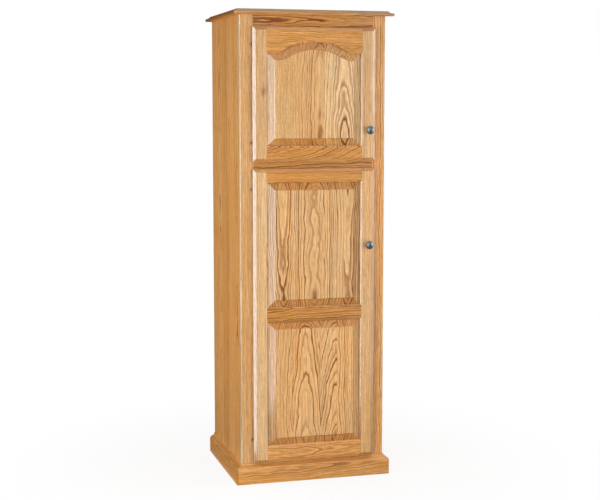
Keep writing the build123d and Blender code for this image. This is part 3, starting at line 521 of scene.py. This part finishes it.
for number, shelf in enumerate(("upper_shelf_1", "lower_shelf_1", "lower_shelf_2", "lower_shelf_3")):
    oak("oak_" + shelf, shelf, "x", "+z", cut_boards(SHELF_DEPTH, 4, 31 + number))
oak("oak_blocks", "glue_blocks", "y", "-z", [Board(548, 200, 140, 0.01, 1.0, 0.4, 0.6)])
print("case sides", len(SIDE_BOARDS), "boards each")

# %% [markdown]
# ## Face frame, top and base
# The frame is cut from single boards with more figure. The rail under the top is the showpiece of this
# cabinet: a board sawn close to the middle of the tree, whose dark rings run out in long tongues.

# %% Frame, top and base
FRAME_STICKS = (
    ("frame_stile_left", "z", "-y", Board(52, 150, 60, 0.002, 0.93, 0.54, 0.7, 4, 169)),
    ("frame_stile_right", "z", "-y", Board(52, -25, 40, 0.010, 1.05, 0.72, 1.3)),
    # the top rail's low shade is partly darker wood and partly painted shadow from the top's overhang
    ("frame_rail_top", "x", "-y", Board(52, 34, 24, 0.045, 0.87, 1.00, 1.4, 8)),
    ("frame_rail_middle", "x", "-y", Board(40, 60, 60, 0.020, 0.83, 1.00, 1.3)),
    ("frame_rail_bottom", "x", "-y", Board(58, 30, 60, 0.020, 0.95, 0.80, 0.9)),
    ("base_front", "x", "-y", Board(80, 55, 34, 0.035, 1.02, 0.90, 0.7)),
    ("base_left", "y", "-x", Board(80, 60, 45, 0.030, 0.88, 0.90, 0.6)),
    ("base_right", "y", "+x", Board(80, 60, 45, -0.030, 0.98, 0.90, 0.6)),
)
for stick, grain, face, board in FRAME_STICKS:
    oak("oak_" + stick, stick, grain, face, [board])
TOP_BOARDS = [
    Board(130, 30, 60, 0.03, 0.81, 0.88, 0.8),
    Board(142, 160, 90, -0.02, 0.83, 0.84, 0.8),
    Board(126, -40, 70, 0.02, 0.80, 0.88, 0.8),
    Board(155, 80, 55, 0.03, 0.84, 0.84, 0.8),
]
oak("oak_top", "top_board", "x", "+z", TOP_BOARDS)
print("frame, top and base dressed")

# %% [markdown]
# ## The doors
# Stiles are chosen straight, so that they stay straight. Panels are where a maker shows off: three or four
# boards side by side, at least one of them sawn through the crown of the tree.

# %% Door stiles and rails
DOOR_STICKS = (
    ("upper_door_stile_left", "z", Board(58, -60, 90, 0.01, 0.88, 0.4, 0.6, 4, knot=(40, 12))),
    ("upper_door_stile_right", "z", Board(58, 120, 90, 0.010, 0.97, 0.35, 0.7, 5)),
    ("upper_door_rail_top", "x", Board(98, 20, 45, 0.025, 0.96, 0.90, 0.8, 5)),
    ("upper_door_rail_bottom", "x", Board(60, 76, 62, 0.250, 0.90, 1.00, 1.2)),
    ("lower_door_stile_left", "z", Board(58, 130, 80, 0.008, 0.95, 0.20, 0.7, 5)),
    ("lower_door_stile_right", "z", Board(58, -80, 80, 0.008, 0.99, 0.40, 0.6, 5)),
    ("lower_door_rail_top", "x", Board(53, -90, 90, 0.010, 0.89, 1.15, 1.0, 4)),
    ("lower_door_rail_middle", "x", Board(58, 60, 50, 0.030, 0.80, 1.00, 1.4, 5)),
    ("lower_door_rail_bottom", "x", Board(66, 40, 36, 0.045, 1.06, 0.85, 0.7)),
)
# the stiles' bevels get the painted slope shade and stain; the rails' bevels stay clear
for stick, grain, board in DOOR_STICKS:
    oak("oak_" + stick, stick, grain, "-y", [board], CLEAR if grain == "x" else CUTTER_STAIN_AND_SHADE)
print(len(DOOR_STICKS), "stiles and rails dressed")

# %% Raised panels
UPPER_PANEL = [
    Board(115, -60, 110, 0.012, 0.93, 0.45, 0.35),
    Board(118, 100, 80, 0.020, 0.96, 0.50, 0.9),
    Board(155, 78, 52, 0.075, 1.05, 0.05, 1.1, 7),
]
MIDDLE_PANEL = [
    Board(104, 66, 34, -0.045, 0.99, 0.40, 1.1, 7),
    Board(130, 90, 75, 0.014, 0.97, 0.40, 1.3, 7),
    Board(78, -60, 60, 0.010, 0.97, 0.35, 1.3, 7),
    Board(76, 17, 30, -0.030, 0.98, 0.40, 1.3, 7),
]
LOWER_PANEL = [
    Board(106, 150, 90, 0.015, 1.00, 0.50, 1.1),
    Board(114, 50, 88, 0.070, 1.04, 0.45, 1.1, 7),
    Board(66, 67, 96, 0.140, 1.05, 0.45, 1.3, 7),
    Board(102, -30, 60, 0.015, 1.05, 0.50, 1.0),
]
# the panels' slopes get the painted slope shade and stain
oak("oak_upper_panel", "upper_door_panel", "z", "-y", UPPER_PANEL, CUTTER_STAIN_AND_SHADE)
oak("oak_middle_panel", "lower_door_panel_middle", "z", "-y", MIDDLE_PANEL, CUTTER_STAIN_AND_SHADE)
oak("oak_lower_panel", "lower_door_panel_bottom", "z", "-y", LOWER_PANEL, CUTTER_STAIN_AND_SHADE)
print("panels of", len(UPPER_PANEL), len(MIDDLE_PANEL), len(LOWER_PANEL), "boards")

# %% [markdown]
# ## Metal, plastic and rubber
# The knobs are cast pewter. The rest is plated steel: aged bronze on the hinge leaves and their pins, zinc
# on the screws, nickel on the shelf pins and the catches' strikes and poles. All four are one shader with
# its own pair of colours. A flat grey would look like plastic, so fine noise shifts the colour and gloss.

# %% Metal
SCRATCH_FINE = 6  # scratches are so many times finer than the mottling
MOTTLE_ROUGHNESS, SCRATCH_ROUGHNESS = 0.16, 0.12


def metal(name, dark, light, grain_size, roughness, nodes):
    """Metal that mottles between two colours at a grain size in mm, with its roughness shifting along."""
    material, shader, start = new_finish(name)
    place = start.node("TexCoord", (), (), "Object")
    lumps = speckle(place.scaled(1 / (grain_size * MM)), 3.0)
    scratches = speckle(place.scaled(SCRATCH_FINE / (grain_size * MM)), 1.0)
    feed(shader, "Base Color", blend_colours(lumps.ease(0.3, 0.7), dark, light))
    uneven = roughness + swing(lumps, MOTTLE_ROUGHNESS) + swing(scratches, SCRATCH_ROUGHNESS)
    feed(shader, "Roughness", uneven)
    relief = {"Height": scratches, "Strength": 0.12, "Distance": 0.0001}
    feed(shader, "Normal", start.node("Bump", (), relief))
    shader.inputs["Metallic"].default_value = 1.0
    for node in nodes:
        dress(node, material)
    print(name, "on", len(nodes), "nodes")


def nodes_with(*words):
    """Names of the assembly's nodes that hold any of these words."""
    return [name for name in sorted(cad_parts) if any(word in name for word in words)]


KNOBS = ["upper_door_knob", "lower_door_knob"]
metal("pewter", srgb(86, 95, 99), srgb(132, 141, 145), 3.0, 0.28, KNOBS)
metal("aged_bronze", srgb(116, 104, 90), srgb(156, 142, 124), 4.0, 0.42, nodes_with("leaf", "hinge_pins"))
metal("zinc_screws", srgb(150, 148, 142), srgb(196, 194, 188), 2.0, 0.32, nodes_with("screw"))
NICKEL_PARTS = nodes_with("shelf_pins", "strike", "poles")
metal("bright_nickel", srgb(168, 166, 160), srgb(210, 208, 202), 5.0, 0.26, NICKEL_PARTS)

# %% Catch cases and bumpers
def moulded(name, dark, light, grain_size, roughness, nodes):
    """Moulded plastic or rubber: a fine even texture, hardly any colour shift."""
    material, shader, start = new_finish(name)
    place = start.node("TexCoord", (), (), "Object")
    grain = speckle(place.scaled(1 / (grain_size * MM)))
    feed(shader, "Base Color", blend_colours(grain, dark, light))
    feed(shader, "Roughness", roughness + swing(grain, 0.2))
    relief = {"Height": grain, "Strength": 0.25, "Distance": 0.0002}
    feed(shader, "Normal", start.node("Bump", (), relief))
    for node in nodes:
        dress(node, material)
    print(name, "on", len(nodes), "nodes")


moulded("brown_plastic", srgb(84, 56, 36), srgb(104, 72, 48), 0.6, 0.45, nodes_with("catch_case"))
moulded("felt_grey_rubber", srgb(176, 170, 158), srgb(202, 196, 184), 0.8, 0.7, nodes_with("bumpers"))

# %% [markdown]
# ## Studio
# A glossy slope is bright only where it mirrors a lamp, so the lamps come in two kinds. Tall narrow strips
# stand close by, each where one run of slopes mirrors it: the outer bevels of the doors, the slopes of the
# raised panels, the rounded shoulders of the case. They stand close because a slope near the floor mirrors
# a point lower down, and a lamp farther off would have to reach below the floor. The bevels' last stretch
# gets a short strip of its own. Two of the strips wear a honeycomb grid: one so that an open door doesn't
# mirror it, and the one for the right stiles' inner edge, whose spill would light the left stiles first.
# Wide boxes farther away, the washes, give the even light on flat faces.

# %% Lights
def soft_box(name, turn, distance, height, width, tall, brightness, beam=180, aside=0, up=0):
    """A soft box facing the cabinet. turn is degrees to the left of straight in front.

    A beam under 180 degrees is a honeycomb grid over the box, which hides it from the side. The box can
    be swivelled off the cabinet's middle, aside degrees to its right and up degrees upwards.
    """
    light = bpy.data.lights.new(name, "AREA")
    light.shape = "RECTANGLE"
    light.size = width
    light.size_y = tall
    light.energy = brightness * math.pi * width * tall
    if beam < 180:
        half = math.radians(beam / 2)
        light.spread = 2 * half
        light.energy *= 1 - half / math.tan(half)  # Blender squeezes all the power into the beam
    box = bpy.data.objects.new(name, light)
    away = Vector((-math.sin(math.radians(turn)), -math.cos(math.radians(turn)), 0))
    middle = Vector((0, 0, height))
    box.location = middle + away * distance
    course = math.radians(turn + aside)
    aim = Vector((math.sin(course), math.cos(course), math.tan(math.radians(up))))
    box.rotation_euler = aim.to_track_quat("-Z", "Y").to_euler()
    box.visible_camera = False
    bpy.context.scene.collection.objects.link(box)
    print(name, round(light.energy, 1), "W")


# name, turn, then distance, height, width and tall in metres, brightness, and the grid's beam and aim
soft_box("bevel_strip", 41.3, 1.33, 1.15, 0.05, 2.4, 15)
soft_box("bevel_foot_strip", 41.4, 0.78, 0.075, 0.02, 0.14, 21, beam=60)
soft_box("slope_strip", 15.7, 1.47, 1.15, 0.10, 2.4, 5.4)
soft_box("shoulder_strip", 52.9, 1.46, 1.15, 0.05, 2.2, 14)
soft_box("sticking_strip", 44.4, 1.21, 1.15, 0.06, 2.28, 17, beam=40, aside=23.6, up=7)
soft_box("right_front_wash", -24, 3.4, 1.15, 0.5, 2.4, 6.1)
soft_box("right_key", -57, 3.0, 0.95, 0.6, 2.0, 5.4)
soft_box("side_wash", 108, 2.6, 1.15, 1.2, 2.2, 4.6)
soft_box("right_strip", -69, 1.9, 1.95, 0.4, 1.1, 3.0)
soft_box("right_foot_strip", -69, 1.9, 0.7, 0.4, 1.35, 1.3)
soft_box("right_wash", -86, 2.6, 1.15, 1.2, 2.2, 2.6)
soft_box("back_box", 205, 2.6, 1.2, 1.6, 2.0, 1.4)

# %% [markdown]
# ## Cards, room and floor
# A pale floor and room would show as a white haze in the rubbed lacquer. A studio stands black cards just
# outside the view to keep a polished surface dark, and so does this scene. The room is a plain white
# background that lights the cabinet only a little. The floor is pale, keeps a soft shadow near the
# cabinet, and fades to the same white farther out, so no horizon shows.

# %% Dark cards, seen only in reflections
BLACK_FELT = (0.02, 0.018, 0.016, 1.0)


def dark_card(name, wide, tall, foot, lean):
    """A card that stands on foot and leans back by lean degrees. Only mirror-like surfaces see it."""
    shape = bmesh.new()
    bmesh.ops.create_grid(shape, x_segments=1, y_segments=1, size=0.5)
    bmesh.ops.scale(shape, vec=(wide, tall, 1), verts=shape.verts)
    bmesh.ops.translate(shape, vec=(0, tall / 2, 0), verts=shape.verts)
    upright = Matrix.Rotation(math.radians(90 - lean), 3, "X")
    bmesh.ops.rotate(shape, cent=(0, 0, 0), matrix=upright, verts=shape.verts)
    bmesh.ops.translate(shape, vec=foot, verts=shape.verts)
    mesh = bpy.data.meshes.new(name)
    shape.to_mesh(mesh)
    shape.free()
    card = bpy.data.objects.new(name, mesh)
    bpy.context.scene.collection.objects.link(card)
    card.visible_camera = False
    card.visible_diffuse = False
    card.visible_shadow = False
    felt, shader, _ = new_finish(name + "_felt")
    shader.inputs["Base Color"].default_value = BLACK_FELT
    shader.inputs["Roughness"].default_value = 0.95
    mesh.materials.append(felt)
    print(name, wide, "x", tall, "m")


# name, width and height in metres, the middle of its foot, and the degrees that it leans back
dark_card("side_card", 2.6, 2.9, (-1.2, 0.29, 0.002), 28)
dark_card("foot_card", 0.6, 0.8, (-0.62, -0.36, 0.004), 90)
dark_card("front_card", 1.9, 2.15, (1.28, -2.25, 0.002), 0)

# %% Room light and white background
ROOM_LIGHT = 0.28  # what the room gives diffuse surfaces; the camera and mirrors see it at full white
WHITE = (1, 1, 1, 1)
world = bpy.data.worlds.new("pale_room")
world.use_nodes = True
bpy.context.scene.world = world
room = Wire(world.node_tree)
background = world.node_tree.nodes["Background"]
looking = room.node("LightPath", (), (), "Is Camera Ray")
ray_kinds = looking.socket.node.outputs
for kind in ("Is Glossy Ray", "Is Transmission Ray"):
    looking = looking.math("MAXIMUM", Wire(world.node_tree, ray_kinds[kind]))
background.inputs["Color"].default_value = WHITE
feed(background, "Strength", looking * (1 - ROOM_LIGHT) + ROOM_LIGHT)
print("room light", ROOM_LIGHT)

# %% Floor
FLOOR_HALF = 14.0  # metres
FLOOR_PALE = (0.93, 0.93, 0.925, 1.0)
FADE_FROM, FADE_TO = 0.5, 1.4  # metres from the cabinet, over which the floor turns plain white
WHITE_SHARE = 0.86  # of the floor's look near the cabinet
FLOOR_DIM = (0.45, 0.445, 0.44, 1.0)  # the floor as the cabinet sees it: it throws little light up

shape = bmesh.new()
bmesh.ops.create_grid(shape, x_segments=1, y_segments=1, size=FLOOR_HALF)
mesh = bpy.data.meshes.new("floor")
shape.to_mesh(mesh)
shape.free()
floor = bpy.data.objects.new("floor", mesh)
bpy.context.scene.collection.objects.link(floor)
floor_material, floor_shader, start = new_finish("pale_floor")
floor_shader.inputs["Base Color"].default_value = FLOOR_PALE
floor_shader.inputs["Roughness"].default_value = 0.9
reach = start.node("TexCoord", (), (), "Object").length()
white = start.node("Emission", (), {"Color": WHITE, "Strength": 1.0})
dim = start.node("BsdfDiffuse", (), {"Color": FLOOR_DIM})
camera_ray = start.node("LightPath", (), (), "Is Camera Ray")
lit = Wire(start.tree, floor_shader.outputs[0])
seen = start.node("MixShader", (), {0: reach.ease(FADE_FROM, FADE_TO, WHITE_SHARE, 1.0), 1: lit, 2: white})
ground = start.node("MixShader", (), {0: camera_ray, 1: dim, 2: seen})
feed(start.tree.nodes["Material Output"], "Surface", ground)
mesh.materials.append(floor_material)
print("floor", 2 * FLOOR_HALF, "m across")

# %% [markdown]
# ## Finishing up
# The standard view shows colours as they were mixed, without a film curve on top.

# %% View settings
bpy.context.scene.view_settings.view_transform = "Standard"
print("view transform", bpy.context.scene.view_settings.view_transform)

# %% The end
print("the end")
